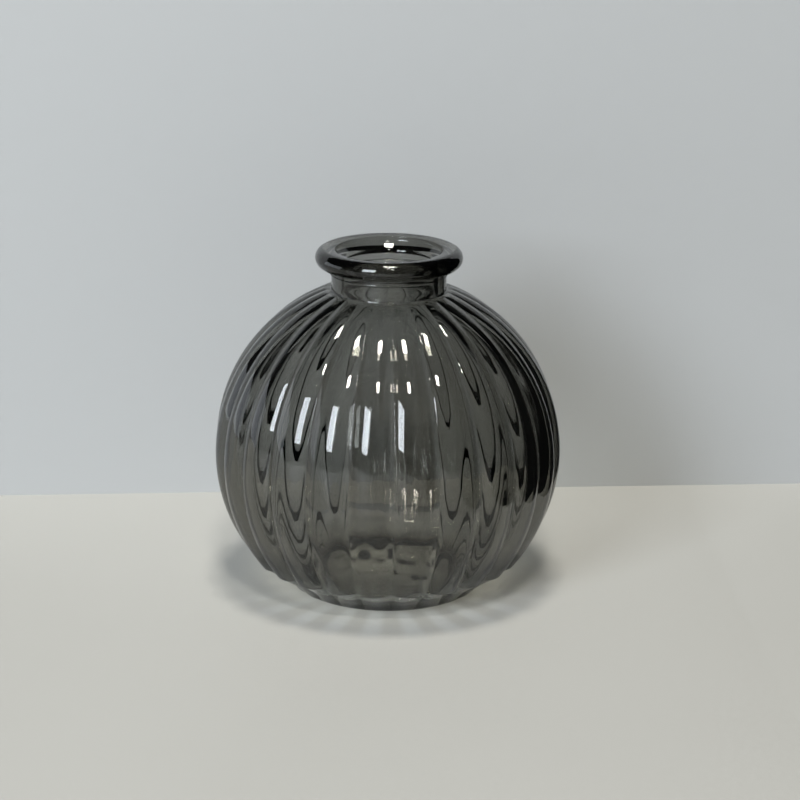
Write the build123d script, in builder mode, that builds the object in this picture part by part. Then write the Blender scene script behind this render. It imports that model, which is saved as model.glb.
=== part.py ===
"""Glass bud vase: a lobed globe with a short neck and a rounded lip.

The vase is one moulding of glass. It is modelled here as the zones that a glassmaker names,
each a closed solid of its own, and they meet face to face.

Frame: millimetres, +Z up. The origin is the centre of the ring that the vase stands on, in the
plane of the table. A valley between two lobes faces -Y.
"""

from build123d import *

import os
from math import acos, asin, cos, degrees, radians, sin, sqrt

# Globe
lobe_count = 24
belly_radius = 42.5  # over the crests of the lobes, at the widest height
belly_height = 34.2
upper_half_height = 43.2  # the globe is a little taller above its widest height than below
lower_half_height = 42.5
valley_depth = 1.56  # from crest to valley, at the widest height
valley_fade = 0.75  # how fast the valleys get shallower as the globe narrows
section_count = 15  # level outlines that the globe is lofted through
shoulder_edge_radius = 16.0  # the lobes' crests end here, at a flat ring round the neck

# Neck
neck_radius = 13.55
neck_root_fillet = 0.4
bore_radius = 11.0
seam_width = 0.5  # the two mould seams stand proud of the neck, opposite each other
seam_proud = 0.12
seam_angle = -22.5  # degrees from +X

# Lip
parting_height = 78.6  # where the lip's mould met the neck's
parting_step = 0.2
bead_radius = 2.3
bead_centre_radius = 15.55
bead_centre_height = 82.4
bead_root_fillet = 0.6
mouth_radius = 13.1
mouth_height = 84.4
flare_height = 81.6  # the bore opens out to the mouth from here

# Base
heel_height = 8.1  # the lobes turn under here
heel_middle_height = 3.8
heel_middle_radius = 27.2  # in the valleys
heel_middle_share = 0.5  # depth of the valleys there, against the globe's
foot_height = 1.3
foot_radius = 24.4  # in the valleys, at the foot's upper face
foot_share = 0.22
foot_face_radius = 22.6  # outer edge of the flat ring that the vase stands on
foot_inner_radius = 19.4
foot_inner_fillet = 0.6
push_up = 1.4  # the middle of the base is raised by this
base_rim_height = 0.7

# Hollow
wall_at_valley = 1.5
floor_height = 2.8
floor_fillet = 12.0
hollow_upper_half_height = 40.0
hollow_fullness = 2.1  # over 2, the hollow is fuller at the shoulder than an ellipse
hollow_point_count = 8
shoulder_fillet = 4.0

lobe_pitch = 360 / lobe_count
bead_top = bead_centre_height + bead_radius
above_mouth = bead_top + 5
collar_radius = neck_radius + parting_step
inner_radius = belly_radius - valley_depth - wall_at_valley


def crest_at(latitude):
    """Radius and height of the lobes' crests, at a latitude in degrees above the belly."""
    half_height = upper_half_height if latitude > 0 else lower_half_height
    radius = belly_radius * cos(radians(latitude))
    return radius, belly_height + half_height * sin(radians(latitude))


def valley_depth_at(radius):
    """Depth of the valleys where the globe has this radius."""
    return valley_depth * (radius / belly_radius) ** valley_fade


def inner_radius_at(height):
    """Radius of the round hollow at a height below the belly."""
    return sqrt(inner_radius**2 - (height - belly_height) ** 2)


def inner_wall_at(angle):
    """Point of the hollow's upper wall: 0 degrees at the belly, and 90 would be on the axis."""
    power = 2 / hollow_fullness
    radius = inner_radius * cos(radians(angle)) ** power
    return radius, belly_height + hollow_upper_half_height * sin(radians(angle)) ** power


def polar(radius, angle):
    """Point on a level circle, with its angle in degrees from +X."""
    return (radius * cos(radians(angle)), radius * sin(radians(angle)))


# The hollow, which the zones are cut with: floor, round wall, bore and flared mouth
floor_edge = inner_radius_at(floor_height)
lower_wall_height = (belly_height + floor_height) / 2
bore_foot_angle = degrees(acos((bore_radius / inner_radius) ** (hollow_fullness / 2)))
bore_foot_height = inner_wall_at(bore_foot_angle)[1]
upper_wall = [
    inner_wall_at(bore_foot_angle * point / hollow_point_count)
    for point in range(hollow_point_count + 1)
]
near_bore = inner_wall_at(bore_foot_angle - 1)
bore_foot_slope = (bore_radius - near_bore[0], bore_foot_height - near_bore[1])

with BuildPart() as hollow:
    with BuildSketch(Plane.XZ):
        with BuildLine():
            Line((0, floor_height), (floor_edge, floor_height))
            ThreePointArc(
                (floor_edge, floor_height),
                (inner_radius_at(lower_wall_height), lower_wall_height),
                (inner_radius, belly_height),
            )
            Spline(*upper_wall, tangents=[(0, 1), bore_foot_slope])
            Polyline(
                upper_wall[-1],
                (bore_radius, flare_height),
                (mouth_radius, mouth_height),
                (mouth_radius, above_mouth),
                (0, above_mouth),
                (0, floor_height),
            )
        make_face()
        floor_corner = vertices().sort_by_distance((floor_edge, floor_height))[0]
        fillet(floor_corner, radius=floor_fillet)
        bore_foot = vertices().sort_by_distance((bore_radius, bore_foot_height))[0]
        fillet(bore_foot, radius=shoulder_fillet)
    revolve(axis=Axis.Z)


def lobed_wire(valley_radius, crest_radius):
    """Draws 24 arcs that meet in crisp valleys, one of them facing -Y."""
    for lobe in range(lobe_count):
        start = -90 + lobe * lobe_pitch
        ThreePointArc(
            polar(valley_radius, start),
            polar(crest_radius, start + lobe_pitch / 2),
            polar(valley_radius, start + lobe_pitch),
        )


# Fluted body: the globe, lofted through level outlines from the heel to the shoulder
lowest_latitude = -degrees(asin((belly_height - heel_height) / lower_half_height))
highest_latitude = degrees(acos(shoulder_edge_radius / belly_radius))
latitude_step = (highest_latitude - lowest_latitude) / (section_count - 1)
shoulder_height = crest_at(highest_latitude)[1]

with BuildPart() as fluted_body:
    for section in range(section_count):
        crest_radius, height = crest_at(lowest_latitude + section * latitude_step)
        with BuildSketch(Plane.XY.offset(height)):
            with BuildLine():
                lobed_wire(crest_radius - valley_depth_at(crest_radius), crest_radius)
            make_face()
    loft()
    add(hollow.part, mode=Mode.SUBTRACT)


# Neck: a short straight collar with two fine mould seams
with BuildPart() as neck:
    with BuildSketch(Plane.XZ):
        with BuildLine():
            Line((0, parting_height), (0, shoulder_height))
            Line((0, shoulder_height), (neck_radius + neck_root_fillet, shoulder_height))
            RadiusArc(
                (neck_radius + neck_root_fillet, shoulder_height),
                (neck_radius, shoulder_height + neck_root_fillet),
                neck_root_fillet,
            )
            Line((neck_radius, shoulder_height + neck_root_fillet), (neck_radius, parting_height))
            Line((neck_radius, parting_height), (0, parting_height))
        make_face()
    revolve(axis=Axis.Z)
    with BuildSketch(Plane.XY.offset(shoulder_height)):
        with PolarLocations(neck_radius, 2, start_angle=seam_angle):
            Rectangle(2 * seam_proud, seam_width)
    extrude(amount=parting_height - shoulder_height)
    add(hollow.part, mode=Mode.SUBTRACT)


# Lip: a rounded bead on a low collar, flat-topped round the mouth
with BuildPart() as lip:
    with BuildSketch(Plane.XZ):
        with BuildLine():
            Polyline(
                (0, mouth_height),
                (0, parting_height),
                (collar_radius, parting_height),
                (collar_radius, bead_centre_height),
                (bead_centre_radius, bead_top),
                (mouth_radius, mouth_height),
                (0, mouth_height),
            )
        make_face()
        with Locations((bead_centre_radius, bead_centre_height)):
            Circle(bead_radius)
    revolve(axis=Axis.Z)
    bead_root = lip.edges().filter_by(GeomType.CIRCLE).filter_by_position(
        Axis.Z, parting_height + 0.5, bead_centre_height - 0.5
    )
    fillet(bead_root, radius=bead_root_fillet)
    add(hollow.part, mode=Mode.SUBTRACT)


# Heel: the underside, where the lobes turn under and fade towards the foot
heel_crest_radius = crest_at(lowest_latitude)[0]
foot_crest_radius = foot_radius + foot_share * valley_depth_at(foot_radius)
middle_depth = heel_middle_share * valley_depth_at(heel_middle_radius)

with BuildPart() as heel:
    with BuildSketch(Plane.XY.offset(foot_height)):
        with BuildLine():
            lobed_wire(foot_radius, foot_crest_radius)
        make_face()
    with BuildSketch(Plane.XY.offset(heel_middle_height)):
        with BuildLine():
            lobed_wire(heel_middle_radius, heel_middle_radius + middle_depth)
        make_face()
    with BuildSketch(Plane.XY.offset(heel_height)):
        with BuildLine():
            lobed_wire(heel_crest_radius - valley_depth_at(heel_crest_radius), heel_crest_radius)
        make_face()
    loft()
    with BuildSketch(Plane.XY.offset(foot_height)):
        Circle(foot_inner_radius)
    extrude(amount=heel_height - foot_height, mode=Mode.SUBTRACT)
    add(hollow.part, mode=Mode.SUBTRACT)


# Foot ring: the flat ring that the vase stands on, with a round outer corner
with BuildPart() as foot_ring:
    with BuildSketch(Plane.XZ):
        with BuildLine():
            TangentArc((foot_face_radius, 0), (foot_radius, foot_height), tangent=(1, 0))
            Polyline(
                (foot_radius, foot_height),
                (foot_inner_radius, foot_height),
                (foot_inner_radius, 0),
                (foot_face_radius, 0),
            )
        foot_profile = make_face()
        inner_corner = foot_profile.vertices().sort_by_distance((foot_inner_radius, 0))[0]
        fillet(inner_corner, radius=foot_inner_fillet)
    revolve(axis=Axis.Z)


# Base disc: the floor of the hollow, raised a little in the middle
with BuildPart() as base_disc:
    with BuildSketch(Plane.XZ):
        with BuildLine():
            TangentArc(
                (0, push_up),
                (foot_inner_radius, base_rim_height),
                tangent=(1, 0),
            )
            Polyline(
                (foot_inner_radius, base_rim_height),
                (foot_inner_radius, heel_height),
                (0, heel_height),
                (0, push_up),
            )
        make_face()
    revolve(axis=Axis.Z)
    add(hollow.part, mode=Mode.SUBTRACT)


zones = {
    "fluted_body": fluted_body,
    "neck": neck,
    "lip": lip,
    "heel": heel,
    "foot_ring": foot_ring,
    "base_disc": base_disc,
}

os.makedirs("parts", exist_ok=True)
for name, zone in zones.items():
    zone.part.label = name
    export_step(zone.part, f"parts/{name}.step")
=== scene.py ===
import math

import bpy
from mathutils import Matrix, Vector, noise


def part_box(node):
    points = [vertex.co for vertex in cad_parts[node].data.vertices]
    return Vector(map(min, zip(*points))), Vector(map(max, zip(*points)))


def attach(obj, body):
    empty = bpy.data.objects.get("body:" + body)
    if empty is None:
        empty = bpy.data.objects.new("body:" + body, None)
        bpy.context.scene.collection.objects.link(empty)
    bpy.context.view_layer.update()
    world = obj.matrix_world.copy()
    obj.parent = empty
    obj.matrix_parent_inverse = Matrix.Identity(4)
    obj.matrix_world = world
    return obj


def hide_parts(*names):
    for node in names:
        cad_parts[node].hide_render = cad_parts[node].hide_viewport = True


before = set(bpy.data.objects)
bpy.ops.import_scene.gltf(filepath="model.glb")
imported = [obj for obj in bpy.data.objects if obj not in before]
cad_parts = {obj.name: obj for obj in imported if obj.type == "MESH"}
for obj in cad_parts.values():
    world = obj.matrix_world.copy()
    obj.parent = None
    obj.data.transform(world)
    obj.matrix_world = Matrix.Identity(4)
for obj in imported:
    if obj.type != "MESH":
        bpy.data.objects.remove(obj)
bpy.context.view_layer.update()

MM = 0.001

# ---------------------------------------------------------------- sizes that the frame's nodes give
neck_low, neck_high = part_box("neck")
lip_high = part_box("lip")[1]
neck_radius = neck_high.x
parting_height = neck_high.z
bead_outer = lip_high.x
bead_top = lip_high.z
heel_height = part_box("heel")[1].z
foot_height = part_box("foot_ring")[1].z
base_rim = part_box("base_disc")[0].z

# ---------------------------------------------------------------- sizes of the glass
# Points of small profiles are given in millimetres, and a lobes' share is the lobes' depth there
# against the globe's.
LOBES = 24
PITCH = 2 * math.pi / LOBES
BELLY_RADIUS = 42.5 * MM  # over the lobes' crests
BELLY_HEIGHT = 34.2 * MM
UPPER_HALF_HEIGHT = 43.2 * MM
LOWER_HALF_HEIGHT = 42.5 * MM
VALLEY_DEPTH = 1.56 * MM
VALLEY_FADE = 0.75  # how fast the valleys get shallower as the globe narrows
VALLEY_WIDTH = 0.20 * MM  # half width of the small hollow that rounds each valley
SHOULDER_EDGE = 16.0 * MM
GLOBE_START = 0.08 * MM  # over the valleys' lower ends
GLOBE_STEPS = 110

# flat ring at the shoulder, neck and its mould seams
SHOULDER_RING = (  # part of the ring's width from its edge, up, lobes' share
    (0.18, 0.07, 0.9),
    (0.42, 0.10, 0.7),
    (0.68, 0.12, 0.4),
)
NECK_FOOT = ((0.22, 0.17, 0.1), (0.07, 0.30, 0))  # past the neck's radius, up, lobes' share
NECK_ROOT = 0.52 * MM
NECK_STEPS = 8
SEAM_PROUD = 0.12 * MM
SEAMS = (math.radians(-22.5), math.radians(157.5))

# collar, bead and mouth
PARTING_STEP = 0.2 * MM
PARTING_RIDGE = (  # past the neck's or the collar's radius, and above the parting line
    (0.0, -0.16, "neck"),
    (0.02, -0.10, "neck"),
    (0.12, -0.04, "collar"),
    (0.20, 0.05, "collar"),
    (0.12, 0.14, "collar"),
    (0.01, 0.20, "collar"),
    (0.0, 0.28, "collar"),
)
BEAD_ROOT = ((0.0, -0.9), (0.03, -0.55), (0.14, -0.26))  # past the collar, and up
BEAD_RADIUS = 2.3 * MM
BEAD_STEPS = 36
BEAD_TURN = 12  # degrees that the bead's root takes off its arc
BEAD_TOP_EDGE = (0.9 * MM, 0.06 * MM)  # in from the bead's middle, and down from its top
MOUTH_BEVEL = (0.3 * MM, 0.07 * MM)  # out from the mouth's rounded edge, and up
MOUTH_RADIUS = 13.05 * MM
MOUTH_HEIGHT = 84.4 * MM
MOUTH_EDGE = 0.15 * MM
MOUTH_EDGE_STEPS = 6
MOUTH_WALL = 0.5 * MM
MOUTH_WALL_START = 0.1 * MM
FLARE_HEIGHT = 81.1 * MM
FLARE_STEPS = 10

# foot and heel
PUSH_UP = 1.4 * MM
PUNT_STEPS = 10
FOOT_INNER = 19.4 * MM
FOOT_FACE = 22.6 * MM
FOOT_FACE_MARGIN = 0.4 * MM
RING_EDGE = ((0.25, 0.25), (0.6, 0.05), (0.9, 0.0))  # past FOOT_INNER, and height
FOOT_CORNER = (0.5 * MM, 0.45 * MM)
FOOT_CORNER_STEPS = 5
FOOT_CORNER_SHARE = 0.02
HEEL_SHARE = 0.5  # depth of the lobes at the foot, against the globe's
HEEL_END_SHARE = 0.96
HEEL_CURVE = ((23.3 * MM, 0.5 * MM), (26.2 * MM, 3.9 * MM))
HEEL_INSET = 0.3 * MM
HEEL_STEPS = 16
HEEL_EDGE = ((0.12, 0.16, 0.98), (0.02, 0.05, 1.0))  # in, down, and share of the lobes' depth
HEEL_DROP = 0.8 * MM  # the lobes' crests reach this much lower than the valleys
HEEL_PULL = 0.75  # how far they come in, for each unit down
HEEL_BLEND = 9.0 * MM

# hollow
WALL = 1.5 * MM
INNER_RADIUS = BELLY_RADIUS - VALLEY_DEPTH - WALL
INNER_UPPER = 40.0 * MM
INNER_FULLNESS = 2.1  # over 2, the hollow is fuller at the shoulder than an ellipse
INNER_STEPS = 90
BORE_RADIUS = 11.0 * MM
BORE_TURN = 3.5 * MM
BORE_TURN_RISE = 3.8 * MM
BORE_TURN_MIDDLE = 1.0 * MM
BORE_STEPS = 8
FLOOR_HEIGHT = 2.8 * MM
FLOOR_FILLET = 12.0 * MM
FLOOR_FILLET_STEPS = 12
FLOOR_STEPS = 8

# unevenness of the glass
INNER_WAVE = 0.40 * MM  # the hollow follows the lobes this much
INNER_WAVE_START = 3 * MM
INNER_WAVE_REACH = 8 * MM
FLOOR_WAVE = 0.06 * MM  # it follows them a little more at the floor's round corner
FLOOR_WAVE_HEIGHT = 12 * MM
FLOOR_LEVEL = 1.5 * MM  # below this, the unevenness also raises and lowers the floor
FLOOR_REACH = 6 * MM
FLOOR_UNEVEN = 0.6 * MM
PUNT_PITCH = 7 * MM
PUNT_UNEVEN = 0.45 * MM  # of the raised middle underneath
PUNT_MARGIN = 1 * MM
RIPPLE_FINE = 3.2 * MM
RIPPLE_BROAD = 9.0 * MM
RIPPLE_SHIFT = Vector((7, 3, 5))
OUTER_FINE = 0.006 * MM
OUTER_BROAD = 0.03 * MM
INNER_FINE = 0.014 * MM
INNER_BROAD = 0.06 * MM
NECK_RIPPLE = 0.3  # the mould holds the neck truer than the globe
SEAM_REACH = 0.001  # radians


# ---------------------------------------------------------------- profiles
def crest_at(latitude):
    """Radius and height of the lobes' crests at a latitude in radians."""
    half_height = UPPER_HALF_HEIGHT if latitude > 0 else LOWER_HALF_HEIGHT
    return BELLY_RADIUS * math.cos(latitude), BELLY_HEIGHT + half_height * math.sin(latitude)


def latitude_at(height):
    """Latitude of a height below the belly."""
    return -math.asin((BELLY_HEIGHT - height) / LOWER_HALF_HEIGHT)


def depth_of(crest_radius):
    """Depth of the valleys where the globe has this radius."""
    return VALLEY_DEPTH * (crest_radius / BELLY_RADIUS) ** VALLEY_FADE


def arc_points(centre, radius, start, end, count):
    """Points of an arc in the profile's plane, angles in degrees from the outward direction."""
    points = []
    for i in range(count + 1):
        a = math.radians(start + (end - start) * i / count)
        points.append((centre[0] + radius * math.cos(a), centre[1] + radius * math.sin(a)))
    return points


def curve_point(start, middle, end, t):
    """Point of a curve that leaves start and reaches end along the lines to middle."""
    return tuple(
        (1 - t) ** 2 * start[k] + 2 * t * (1 - t) * middle[k] + t * t * end[k] for k in (0, 1)
    )


def foot_rows():
    """The raised middle, the ring that the vase stands on and the ring's round corner."""
    rows = []
    for i in range(1, PUNT_STEPS + 1):
        t = i / PUNT_STEPS
        rows.append((FOOT_INNER * t, base_rim + (PUSH_UP - base_rim) * (1 - t**2), 0))
    for out, height in RING_EDGE:
        rows.append((FOOT_INNER + out * MM, height * MM, 0))
    rows.append((FOOT_FACE - FOOT_FACE_MARGIN, 0, 0))
    rows.append((FOOT_FACE, 0, 0))
    for i in range(1, FOOT_CORNER_STEPS):
        a = math.pi / 2 * i / FOOT_CORNER_STEPS
        radius = FOOT_FACE + FOOT_CORNER[0] * math.sin(a)
        rows.append((radius, FOOT_CORNER[1] * (1 - math.cos(a)), FOOT_CORNER_SHARE * i))
    return rows


def heel_rows():
    """The underside of the lobes, fading to the foot, with the turn at their lower ends."""
    crest = crest_at(latitude_at(heel_height))[0]
    valley = crest - depth_of(crest)
    end = (valley - HEEL_INSET, heel_height - HEEL_INSET)
    rows = []
    for i in range(HEEL_STEPS + 1):
        t = i / HEEL_STEPS
        share = HEEL_SHARE + (HEEL_END_SHARE - HEEL_SHARE) * t
        rows.append((*curve_point(*HEEL_CURVE, end, t), share))
    for inward, down, share in HEEL_EDGE:
        rows.append((valley - inward * MM, heel_height - down * MM, share))
    return rows


def globe_rows():
    """The lobed globe, from the lobes' lower ends to the flat ring at the shoulder."""
    start = latitude_at(heel_height + GLOBE_START)
    end = math.acos(SHOULDER_EDGE / BELLY_RADIUS)
    rows = []
    for i in range(GLOBE_STEPS + 1):
        crest, height = crest_at(start + (end - start) * i / GLOBE_STEPS)
        rows.append((crest - depth_of(crest), height, 1.0))
    return rows


def neck_rows(edge):
    """The flat ring, the neck's soft root, the neck and the ridge at the parting line."""
    edge_r, edge_z = edge
    span = edge_r - neck_radius
    rows = [(edge_r - part * span, edge_z + up * MM, share) for part, up, share in SHOULDER_RING]
    rows += [(neck_radius + out * MM, edge_z + up * MM, share) for out, up, share in NECK_FOOT]
    root = edge_z + NECK_ROOT
    for i in range(NECK_STEPS):
        rows.append((neck_radius, root + (parting_height - root) * i / NECK_STEPS, 0))
    bases = {"neck": neck_radius, "collar": neck_radius + PARTING_STEP}
    for out, up, base in PARTING_RIDGE:
        rows.append((bases[base] + out * MM, parting_height + up * MM, 0))
    return rows


def lip_rows():
    """The collar, the bead and the flat top, to the mouth's inner edge."""
    collar = neck_radius + PARTING_STEP
    centre = bead_outer - BEAD_RADIUS
    height = bead_top - BEAD_RADIUS
    meet = -math.degrees(math.acos((collar - centre) / BEAD_RADIUS))
    start = height + BEAD_RADIUS * math.sin(math.radians(meet))
    points = [(collar + out * MM, start + up * MM) for out, up in BEAD_ROOT]
    points += arc_points((centre, height), BEAD_RADIUS, meet + BEAD_TURN, 90, BEAD_STEPS)
    points.append((centre - BEAD_TOP_EDGE[0], bead_top - BEAD_TOP_EDGE[1]))
    edge = MOUTH_RADIUS + MOUTH_EDGE
    points.append((edge + MOUTH_BEVEL[0], MOUTH_HEIGHT + MOUTH_BEVEL[1]))
    points += arc_points((edge, MOUTH_HEIGHT - MOUTH_EDGE), MOUTH_EDGE, 90, 180, MOUTH_EDGE_STEPS)
    return [(r, z, 0) for r, z in points]


def outer_profile():
    """(radius, height, lobe share) from the middle of the underside out, up and in to the mouth."""
    globe = globe_rows()
    return foot_rows() + heel_rows() + globe + neck_rows(globe[-1][:2]) + lip_rows()


def inner_wall_point(angle):
    """Point of the hollow's wall: 0 at the belly, upward positive, in radians."""
    if angle <= 0:
        height = BELLY_HEIGHT + INNER_RADIUS * math.sin(angle)
        return INNER_RADIUS * math.cos(angle), height
    power = 2 / INNER_FULLNESS
    height = BELLY_HEIGHT + INNER_UPPER * math.sin(angle) ** power
    return INNER_RADIUS * math.cos(angle) ** power, height


def inner_profile():
    """(radius, height) from the mouth's inner edge down to the middle of the floor."""
    edge = MOUTH_HEIGHT - MOUTH_EDGE
    top = edge - MOUTH_WALL
    rows = [(MOUTH_RADIUS, edge - MOUTH_WALL_START), (MOUTH_RADIUS, top)]
    for i in range(1, FLARE_STEPS):
        t = i / FLARE_STEPS
        ease = t * t * (3 - 2 * t)
        radius = MOUTH_RADIUS + (BORE_RADIUS - MOUTH_RADIUS) * ease
        rows.append((radius, top + (FLARE_HEIGHT - top) * t))
    # bore, and the round turn from it into the shoulder
    turn_radius = BORE_RADIUS + BORE_TURN
    first = math.acos((turn_radius / INNER_RADIUS) ** (INNER_FULLNESS / 2))
    start = inner_wall_point(first)[1]
    bore_end = start + BORE_TURN_RISE
    for i in range(BORE_STEPS + 1):
        rows.append((BORE_RADIUS, FLARE_HEIGHT - (FLARE_HEIGHT - bore_end) * i / BORE_STEPS))
    above = (BORE_RADIUS, bore_end)
    middle = (BORE_RADIUS, start + BORE_TURN_MIDDLE)
    for i in range(1, BORE_STEPS):
        rows.append(curve_point(above, middle, (turn_radius, start), i / BORE_STEPS))
    # round wall, down to the floor's round corner
    drop = BELLY_HEIGHT - FLOOR_HEIGHT - FLOOR_FILLET
    centre = math.sqrt((INNER_RADIUS - FLOOR_FILLET) ** 2 - drop**2)
    last = math.atan2(-drop, centre)
    for i in range(INNER_STEPS + 1):
        rows.append(inner_wall_point(first + (last - first) * i / INNER_STEPS))
    # the corner and the floor
    corner = (centre, FLOOR_HEIGHT + FLOOR_FILLET)
    rows += arc_points(corner, FLOOR_FILLET, math.degrees(last), -90, FLOOR_FILLET_STEPS)[1:]
    for i in range(1, FLOOR_STEPS):
        rows.append((centre * (1 - i / FLOOR_STEPS), FLOOR_HEIGHT))
    return rows


# ---------------------------------------------------------------- the glass, one closed mesh
def lobe_shares():
    """Shares of a lobe from a valley to the middle of its crest, closer together at the valley."""
    fine = [0.0, 0.006, 0.012, 0.018, 0.024, 0.032, 0.044, 0.06]
    return fine + [0.085, 0.12, 0.165, 0.22, 0.285, 0.355, 0.428]


def lobe_angles():
    """Angles round one lobe, from a valley to just before the next."""
    near = lobe_shares()
    shares = near + [0.5] + [1 - share for share in reversed(near[1:])]
    return [share * PITCH for share in shares]


def lobe_radius(valley, share, angle):
    """Radius at an angle from the valley, on a lobe that is an arc through valleys and crest."""
    if share <= 0:
        return valley
    crest = valley + depth_of(valley) * share
    half = PITCH / 2
    centre = (crest**2 - valley**2) / (2 * (crest - valley * math.cos(half)))
    arc = crest - centre

    def on_arc(off):
        return centre * math.cos(off) + math.sqrt(arc**2 - (centre * math.sin(off)) ** 2)

    side = min(angle, PITCH - angle) * valley
    if side >= VALLEY_WIDTH:
        return on_arc(angle - half)
    at_edge = on_arc(VALLEY_WIDTH / valley - half)
    slope = (at_edge - valley) / VALLEY_WIDTH
    return at_edge - slope * (VALLEY_WIDTH - side**2 / VALLEY_WIDTH) / 2


def ripple(point, fine, broad):
    """Small unevenness of hand-finished glass, the same each run: fine and broad are heights."""
    small = noise.noise(point / RIPPLE_FINE) + 0.5 * noise.noise(point / (0.5 * RIPPLE_FINE))
    large = noise.noise(point / RIPPLE_BROAD + RIPPLE_SHIFT)
    return fine * small + broad * large


def on_ring(radius, theta, height):
    return Vector((radius * math.cos(theta), radius * math.sin(theta), height))


def pushed_out(point, radius, bump, height):
    """The point at this radius, moved outward by bump and set at a height."""
    return (point.x * (1 + bump / radius), point.y * (1 + bump / radius), height)


def heel_drop(radius, r, z, share):
    """How much lower the lobes' lower ends sit than the valleys beside them."""
    if not share or z >= heel_height + HEEL_BLEND:
        return 0.0
    if z < heel_height:
        rise = (radius - r) / (depth_of(r) * share)
        fall = max(0.0, (share - HEEL_SHARE) / (1 - HEEL_SHARE)) ** 2
    else:
        rise = (radius - r) / depth_of(r)
        fall = (1 - (z - heel_height) / HEEL_BLEND) ** 2
    return HEEL_DROP * rise * fall


def outer_vertex(row, theta, angle):
    """Point of the outer surface; angle is counted from the valley before it."""
    r, z, share = row
    radius = lobe_radius(r, share, angle)
    height = z
    if r < FOOT_INNER - PUNT_MARGIN and z < foot_height + PUNT_MARGIN:
        height += noise.noise(on_ring(radius, theta, 0) / PUNT_PITCH) * PUNT_UNEVEN
    drop = heel_drop(radius, r, z, share)
    height -= drop
    radius -= drop * HEEL_PULL
    point = on_ring(radius, theta, height)
    bump = 0.0
    if z > foot_height:
        bump = ripple(point, OUTER_FINE, OUTER_BROAD) * min(1.0, share + NECK_RIPPLE)
    at_seam = min(abs(theta - seam) for seam in SEAMS) < SEAM_REACH
    if at_seam and not share and neck_low.z < z < parting_height:
        bump = SEAM_PROUD
    return pushed_out(point, radius, bump, height)


def inner_vertex(row, theta):
    """Point of the hollow, which follows the lobes a little where it is wider than the bore."""
    r, z = row
    wave = INNER_WAVE * max(0.0, min(1.0, (r - BORE_RADIUS - INNER_WAVE_START) / INNER_WAVE_REACH))
    low = 1 - min(1.0, (z - FLOOR_HEIGHT) / FLOOR_WAVE_HEIGHT)
    wave += FLOOR_WAVE * math.sin(math.pi * low) ** 2
    radius = r - wave * math.cos(LOBES * (theta + math.pi / 2))
    point = on_ring(radius, theta, z)
    bump = ripple(point, INNER_FINE, INNER_BROAD) * (1.0 if wave else NECK_RIPPLE)
    if z < FLOOR_HEIGHT + FLOOR_REACH:
        bump += ripple(point, 0, FLOOR_UNEVEN) * (1 - (z - FLOOR_HEIGHT) / FLOOR_REACH)
    height = z + bump if z < FLOOR_HEIGHT + FLOOR_LEVEL else z
    return pushed_out(point, radius, bump, height)


def glass_mesh():
    """The whole vase as one closed mesh: underside, outer surface, mouth, hollow and floor."""
    stations = [
        (angle, -math.pi / 2 + lobe * PITCH + angle)
        for lobe in range(LOBES)
        for angle in lobe_angles()
    ]
    rings = [[outer_vertex(row, theta, a) for a, theta in stations] for row in outer_profile()]
    rings += [[inner_vertex(row, theta) for _, theta in stations] for row in inner_profile()]
    verts = [(0, 0, PUSH_UP)]
    for ring in rings:
        verts += ring
    verts.append((0, 0, FLOOR_HEIGHT))

    count = len(stations)
    last = len(verts) - 1
    following = [(i + 1) % count for i in range(count)]
    faces = [(0, 1 + following[i], 1 + i) for i in range(count)]
    for ring in range(len(rings) - 1):
        low = 1 + ring * count
        high = low + count
        for i, j in enumerate(following):
            faces.append((low + i, low + j, high + j, high + i))
    faces += [(last, high + i, high + j) for i, j in enumerate(following)]

    mesh = bpy.data.meshes.new("glass_vase")
    mesh.from_pydata(verts, [], faces)
    mesh.validate()
    mesh.update()
    for polygon in mesh.polygons:
        polygon.use_smooth = True
    return mesh


# ---------------------------------------------------------------- nodes
def new_material(name):
    material = bpy.data.materials.new(name)
    material.use_nodes = True
    tree = material.node_tree
    return material, tree, tree.nodes["Principled BSDF"]


def node(tree, kind, **values):
    made = tree.nodes.new(kind)
    for name, value in values.items():
        setattr(made, name, value)
    return made


def math_node(tree, operation, *values):
    """Math node with its inputs set to plain numbers or linked to the sockets given."""
    made = node(tree, "ShaderNodeMath", operation=operation)
    for i, value in enumerate(values):
        if isinstance(value, (int, float)):
            made.inputs[i].default_value = value
        else:
            tree.links.new(value, made.inputs[i])
    return made.outputs[0]


def noise_node(tree, place, scale, detail=3):
    made = node(tree, "ShaderNodeTexNoise")
    made.inputs["Scale"].default_value = scale
    made.inputs["Detail"].default_value = detail
    tree.links.new(place, made.inputs["Vector"])
    return made.outputs["Fac"]


def ramp_node(tree, value, low, high, to_low=0, to_high=1, smooth=False):
    """Value between low and high, carried over to the range between to_low and to_high."""
    made = node(tree, "ShaderNodeMapRange")
    if smooth:
        made.interpolation_type = "SMOOTHSTEP"
    tree.links.new(value, made.inputs["Value"])
    numbers = {"From Min": low, "From Max": high, "To Min": to_low, "To Max": to_high}
    for name, number in numbers.items():
        made.inputs[name].default_value = number
    return made.outputs["Result"]


def colour_node(tree, factor, first, second):
    """Mix of two colours; the first may be a socket."""
    made = node(tree, "ShaderNodeMix", data_type="RGBA")
    if isinstance(first, tuple):
        made.inputs["A"].default_value = (*first, 1)
    else:
        tree.links.new(first, made.inputs["A"])
    made.inputs["B"].default_value = (*second, 1)
    tree.links.new(factor, made.inputs["Factor"])
    return made.outputs["Result"]


def add_relief(tree, shader, height, strength):
    bump = node(tree, "ShaderNodeBump")
    bump.inputs["Strength"].default_value = strength
    bump.inputs["Distance"].default_value = RELIEF
    tree.links.new(height, bump.inputs["Height"])
    tree.links.new(bump.outputs["Normal"], shader.inputs["Normal"])


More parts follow.
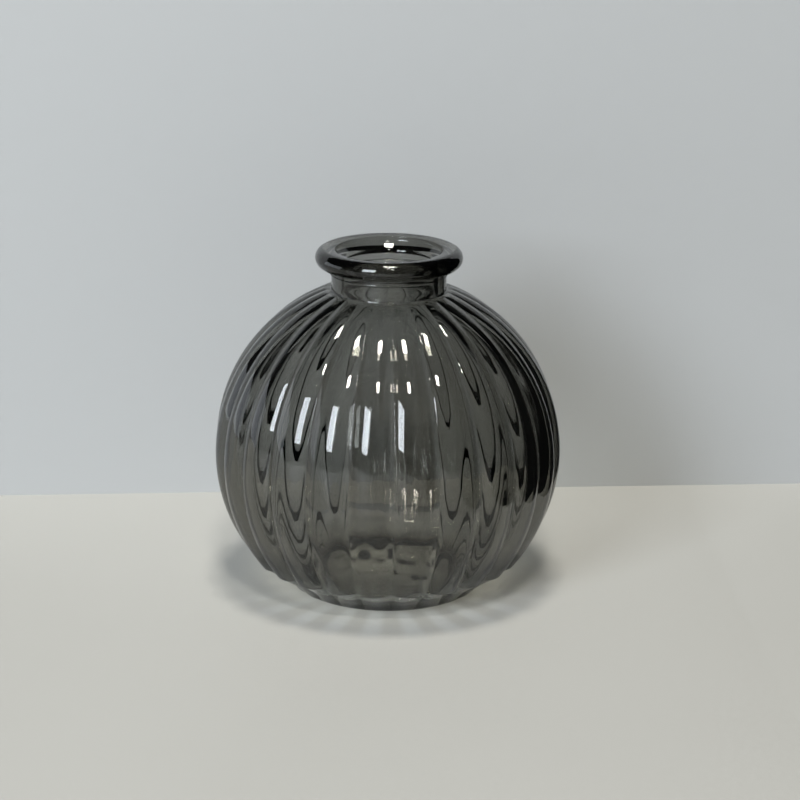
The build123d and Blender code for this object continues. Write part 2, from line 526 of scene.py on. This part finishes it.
def clear_where(tree, shader, factor):
    """The surface is the shader, and fully transparent where the factor is 1."""
    mix = node(tree, "ShaderNodeMixShader")
    tree.links.new(factor, mix.inputs["Fac"])
    tree.links.new(shader.outputs[0], mix.inputs[1])
    tree.links.new(node(tree, "ShaderNodeBsdfTransparent").outputs[0], mix.inputs[2])
    tree.links.new(mix.outputs[0], tree.nodes["Material Output"].inputs["Surface"])


# ---------------------------------------------------------------- materials
RELIEF = 0.1 * MM  # of every bump, at full strength

GLASS_TINTS = ((0.955, 0.955, 0.94), (1, 1, 1))
GLASS_CORDS = 55  # scales of the noise, per metre
GLASS_SKIN = 240
GLASS_RIPPLES = 420
GLASS_ROUGHNESS = 0.025
SMOKE = (0.22, 0.22, 0.18, 1)
SMOKE_DENSITY = 385

FLOOR_TONES = ((0.42, 0.42, 0.40), (0.44, 0.44, 0.42))
FLOOR_GRAIN = 900
FLOOR_CLOUD = 9
# painted light: streaks of caustic light painted into the floor's colour round the vase's foot,
# with their lighter tone, reach and wander
PAINTED_STREAK_TONE = (0.52, 0.53, 0.52)
PAINTED_STREAK_START = (22 * MM, 25 * MM)  # from the vase's middle
PAINTED_STREAK_END = (33 * MM, 43 * MM)
PAINTED_STREAK_FRONT = (-4 * MM, -30 * MM)
PAINTED_STREAK_NOISE = 60
PAINTED_STREAK_WANDER = 1.6
PAINTED_STREAK_PHASE = 2.34  # with half of the wander, it puts the streaks under the lobes' crests

WALL_TONES = ((0.435, 0.445, 0.45), (0.445, 0.455, 0.46))
WALL_GRAIN = 350


def glass_material():
    """Smoke-grey glass: nearly even, with faint cords in the melt and a fire-finished skin."""
    material, tree, shader = new_material("smoke_glass")
    shader.inputs["Transmission Weight"].default_value = 1
    shader.inputs["IOR"].default_value = 1.5
    place = node(tree, "ShaderNodeTexCoord").outputs["Object"]
    cords = ramp_node(tree, noise_node(tree, place, GLASS_CORDS), 0.3, 0.7)
    tree.links.new(colour_node(tree, cords, *GLASS_TINTS), shader.inputs["Base Color"])
    # the skin is a touch less clear in places, with very fine ripples
    skin = noise_node(tree, place, GLASS_SKIN)
    roughness = ramp_node(tree, skin, 0.45, 0.75, 0, GLASS_ROUGHNESS)
    tree.links.new(roughness, shader.inputs["Roughness"])
    add_relief(tree, shader, noise_node(tree, place, GLASS_RIPPLES, 2), 0.05)
    # light from the lamps goes on through the glass, so its shadow is a grey one
    clear_where(tree, shader, node(tree, "ShaderNodeLightPath").outputs["Is Shadow Ray"])
    absorb = node(tree, "ShaderNodeVolumeAbsorption")
    absorb.inputs["Color"].default_value = SMOKE
    absorb.inputs["Density"].default_value = SMOKE_DENSITY
    tree.links.new(absorb.outputs["Volume"], tree.nodes["Material Output"].inputs["Volume"])
    return material


def painted_streak_factor(tree, place):
    """Painted light: streaks of light painted round the front of the foot, in place of the light
    that the lobes throw, one for each lobe.
    """
    split = node(tree, "ShaderNodeSeparateXYZ")
    tree.links.new(place, split.inputs[0])
    away = node(tree, "ShaderNodeVectorMath", operation="LENGTH")
    tree.links.new(place, away.inputs[0])
    reach = away.outputs["Value"]
    turn = math_node(tree, "ARCTAN2", split.outputs["X"], split.outputs["Y"])
    wander = noise_node(tree, place, PAINTED_STREAK_NOISE)
    wobble = math_node(tree, "MULTIPLY_ADD", wander, PAINTED_STREAK_WANDER, PAINTED_STREAK_PHASE)
    phase = math_node(tree, "ADD", math_node(tree, "MULTIPLY", turn, LOBES), wobble)
    rise = ramp_node(tree, reach, *PAINTED_STREAK_START, smooth=True)
    fall = ramp_node(tree, reach, *PAINTED_STREAK_END, 1, 0, smooth=True)
    front = ramp_node(tree, split.outputs["Y"], *PAINTED_STREAK_FRONT, smooth=True)
    window = math_node(tree, "MULTIPLY", math_node(tree, "MULTIPLY", rise, fall), front)
    wave = ramp_node(tree, math_node(tree, "COSINE", phase), -0.8, 1.0, smooth=True)
    return math_node(tree, "MULTIPLY", window, wave)


def floor_material():
    """Pale laminate with a fine grain, and painted streaks of light round the vase's foot."""
    material, tree, shader = new_material("pale_floor")
    place = node(tree, "ShaderNodeNewGeometry").outputs["Position"]
    grain = noise_node(tree, place, FLOOR_GRAIN, 4)
    cloud = noise_node(tree, place, FLOOR_CLOUD)
    half_grain = math_node(tree, "MULTIPLY", grain, 0.5)
    half_cloud = math_node(tree, "MULTIPLY", cloud, 0.5)
    blend = ramp_node(tree, math_node(tree, "ADD", half_grain, half_cloud), 0.35, 0.65)
    tone = colour_node(tree, blend, *FLOOR_TONES)
    # painted light: the floor's colour is lighter in the streaks round the foot
    lit = colour_node(tree, painted_streak_factor(tree, place), tone, PAINTED_STREAK_TONE)
    tree.links.new(lit, shader.inputs["Base Color"])
    tree.links.new(ramp_node(tree, grain, 0.3, 0.7, 0.5, 0.65), shader.inputs["Roughness"])
    add_relief(tree, shader, grain, 0.15)
    return material


def wall_material():
    """Pale painted wall, seen from its front only, so that it never hides the vase."""
    material, tree, shader = new_material("pale_wall")
    place = node(tree, "ShaderNodeNewGeometry")
    skin = noise_node(tree, place.outputs["Position"], WALL_GRAIN)
    tree.links.new(colour_node(tree, skin, *WALL_TONES), shader.inputs["Base Color"])
    tree.links.new(ramp_node(tree, skin, 0.3, 0.7, 0.6, 0.75), shader.inputs["Roughness"])
    add_relief(tree, shader, skin, 0.1)
    clear_where(tree, shader, place.outputs["Backfacing"])
    return material


def black_material(name):
    material, _, shader = new_material(name)
    shader.inputs["Base Color"].default_value = (0, 0, 0, 1)
    shader.inputs["Roughness"].default_value = 1
    return material


# ---------------------------------------------------------------- the vase
vase_object = bpy.data.objects.new("glass_vase", glass_mesh())
bpy.context.collection.objects.link(vase_object)
vase_object.data.materials.append(glass_material())
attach(vase_object, "root")
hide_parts("fluted_body", "neck", "lip", "heel", "foot_ring", "base_disc")

# ---------------------------------------------------------------- camera
VIEW_TURN = math.radians(-2.64)
CAMERA_LENS = 108
CAMERA_PLACE = Vector((2.965, -562.2, 219.7)) * MM
CAMERA_PITCH = 0.299  # radians below level
CAMERA_ROLL = 0.010

camera_data = bpy.data.cameras.new("camera")
camera_data.lens = CAMERA_LENS
camera_data.sensor_width = 36
camera_data.clip_start = 0.01
camera_data.clip_end = 20
camera = bpy.data.objects.new("camera", camera_data)
bpy.context.collection.objects.link(camera)
camera.matrix_world = (
    Matrix.Rotation(VIEW_TURN, 4, "Z")
    @ Matrix.Translation(CAMERA_PLACE)
    @ Matrix.Rotation(math.pi / 2 - CAMERA_PITCH, 4, "X")
    @ Matrix.Rotation(CAMERA_ROLL, 4, "Z")
)
bpy.context.scene.camera = camera

# ---------------------------------------------------------------- stage
FLOOR_HALF = 1.5
WALL_AT = 0.066
WALL_LEFT = -0.14
WALL_RIGHT = 0.126
WALL_TOP = 0.143
WALL_TURN = math.radians(4.3)
CARD_FRONT = -0.13
CARD_BACK = 0.08
CARD_TOP = 0.2


def plane(name, corners, material):
    mesh = bpy.data.meshes.new(name)
    mesh.from_pydata([Vector(c) for c in corners], [], [(0, 1, 2, 3)])
    made = bpy.data.objects.new(name, mesh)
    bpy.context.collection.objects.link(made)
    mesh.materials.append(material)
    return made


def flag(name, x, low):
    """Black card beside the vase, seen only in and through the glass: it gives the dark bands."""
    corners = [
        (x, CARD_FRONT, low),
        (x, CARD_BACK, low),
        (x, CARD_BACK, CARD_TOP),
        (x, CARD_FRONT, CARD_TOP),
    ]
    card = plane(name, corners, black_material(name))
    card.visible_camera = False
    card.visible_diffuse = False
    card.visible_shadow = False
    card.visible_glossy = x > 0


floor_corners = [
    (-FLOOR_HALF, -FLOOR_HALF, 0),
    (FLOOR_HALF, -FLOOR_HALF, 0),
    (FLOOR_HALF, FLOOR_HALF, 0),
    (-FLOOR_HALF, FLOOR_HALF, 0),
]
plane("floor", floor_corners, floor_material())

wall_corners = [
    (WALL_LEFT, 0, 0),
    (WALL_RIGHT, 0, 0),
    (WALL_RIGHT, 0, WALL_TOP),
    (WALL_LEFT, 0, WALL_TOP),
]
backdrop = plane("backdrop", wall_corners, wall_material())
backdrop.matrix_world = (
    Matrix.Rotation(VIEW_TURN + WALL_TURN, 4, "Z") @ Matrix.Translation((0, WALL_AT, 0))
)

flag("flag_right", 0.086, 0)
flag("flag_left", -0.088, 0.032)

# ---------------------------------------------------------------- light
DAYLIGHT = (0.86, 0.93, 1.0)
SIDE_DAYLIGHT = (0.88, 0.94, 1.0)
WARM = (1.0, 0.96, 0.88)
ROOM = (0.5, 0.52, 0.55, 1)
ROOM_STRENGTH = 0.06


def area(name, azimuth, elevation, distance, width, height, power, colour):
    """Softbox aimed at the vase; azimuth 0 is the camera's side, positive to its right."""
    light = bpy.data.lights.new(name, "AREA")
    light.shape = "RECTANGLE"
    light.size = width
    light.size_y = height
    light.energy = power
    light.color = colour
    made = bpy.data.objects.new(name, light)
    bpy.context.collection.objects.link(made)
    a = math.radians(azimuth) + VIEW_TURN
    e = math.radians(elevation)
    away = Vector((math.sin(a) * math.cos(e), -math.cos(a) * math.cos(e), math.sin(e)))
    made.location = Vector((0, 0, BELLY_HEIGHT)) + away * distance
    made.rotation_mode = "QUATERNION"
    made.rotation_quaternion = away.to_track_quat("Z", "Y")


area("window", -32, 24.5, 1.5, 0.5, 0.72, 19, DAYLIGHT)
area("side_window", -100, 8, 1.2, 1.0, 0.5, 2.4, SIDE_DAYLIGHT)
area("lamp_a", 5, 83, 1.6, 0.30, 0.25, 14, WARM)
area("lamp_b", 4, 54, 1.6, 0.21, 0.20, 10, WARM)

scene = bpy.context.scene
world = bpy.data.worlds.new("studio")
scene.world = world
world.use_nodes = True
background = world.node_tree.nodes["Background"]
background.inputs["Color"].default_value = ROOM
background.inputs["Strength"].default_value = ROOM_STRENGTH

scene.view_settings.view_transform = "Standard"
scene.cycles.max_bounces = 24
scene.cycles.transmission_bounces = 20
scene.cycles.glossy_bounces = 12
scene.cycles.sample_clamp_indirect = 0
scene.cycles.blur_glossy = 0.3
